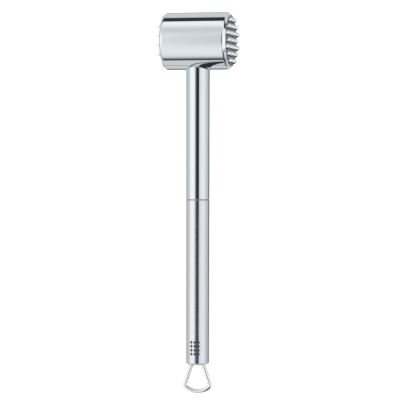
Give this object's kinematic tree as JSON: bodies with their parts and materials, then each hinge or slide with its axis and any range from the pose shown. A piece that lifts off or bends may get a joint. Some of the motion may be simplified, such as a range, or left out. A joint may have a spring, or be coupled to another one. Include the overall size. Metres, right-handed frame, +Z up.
{
  "type": "meat mallet",
  "caption": "Steel meat mallet: round head with a blunt-studded face and a spiked face, straight tubular handle and a wire hanging loop that swings in the end cap.",
  "frame": {"origin": "on the worktop, under the middle of the mallet's outline seen from above", "axes": "+Y along the handle towards the head, +X along the head's axis towards the coarse face, +Z up from the worktop that the mallet lies on"},
  "size_m": [0.053, 0.267, 0.04],
  "materials": {
    "polished_steel": "mirror polished stainless steel",
    "satin_steel": "satin stainless steel, brushed around the handle",
    "face_steel": "bright tumbled stainless steel",
    "plain_steel": "machined steel, hidden inside the handle"
  },
  "bodies": {
    "mallet": {"head_body": "polished_steel", "coarse_face_plate": "face_steel", "fine_face_plate": "face_steel", "shaft_bush": "plain_steel", "shaft_tube": "polished_steel", "coupling_sleeve": "plain_steel", "grip_tube": "satin_steel", "tie_rod": "plain_steel", "clamp_plug": "plain_steel", "lock_washer": "plain_steel", "rod_nut": "plain_steel", "end_cap": "satin_steel"},
    "loop": {"hanging_loop": "polished_steel"}
  },
  "joints": [
    {"name": "loop_swing", "type": "hinge", "parent": "mallet", "child": "loop", "pos_m": [-0.0001, -0.10979, 0.00824], "axis": [1, 0, 0], "range_deg": [-25, 25]}
  ]
}
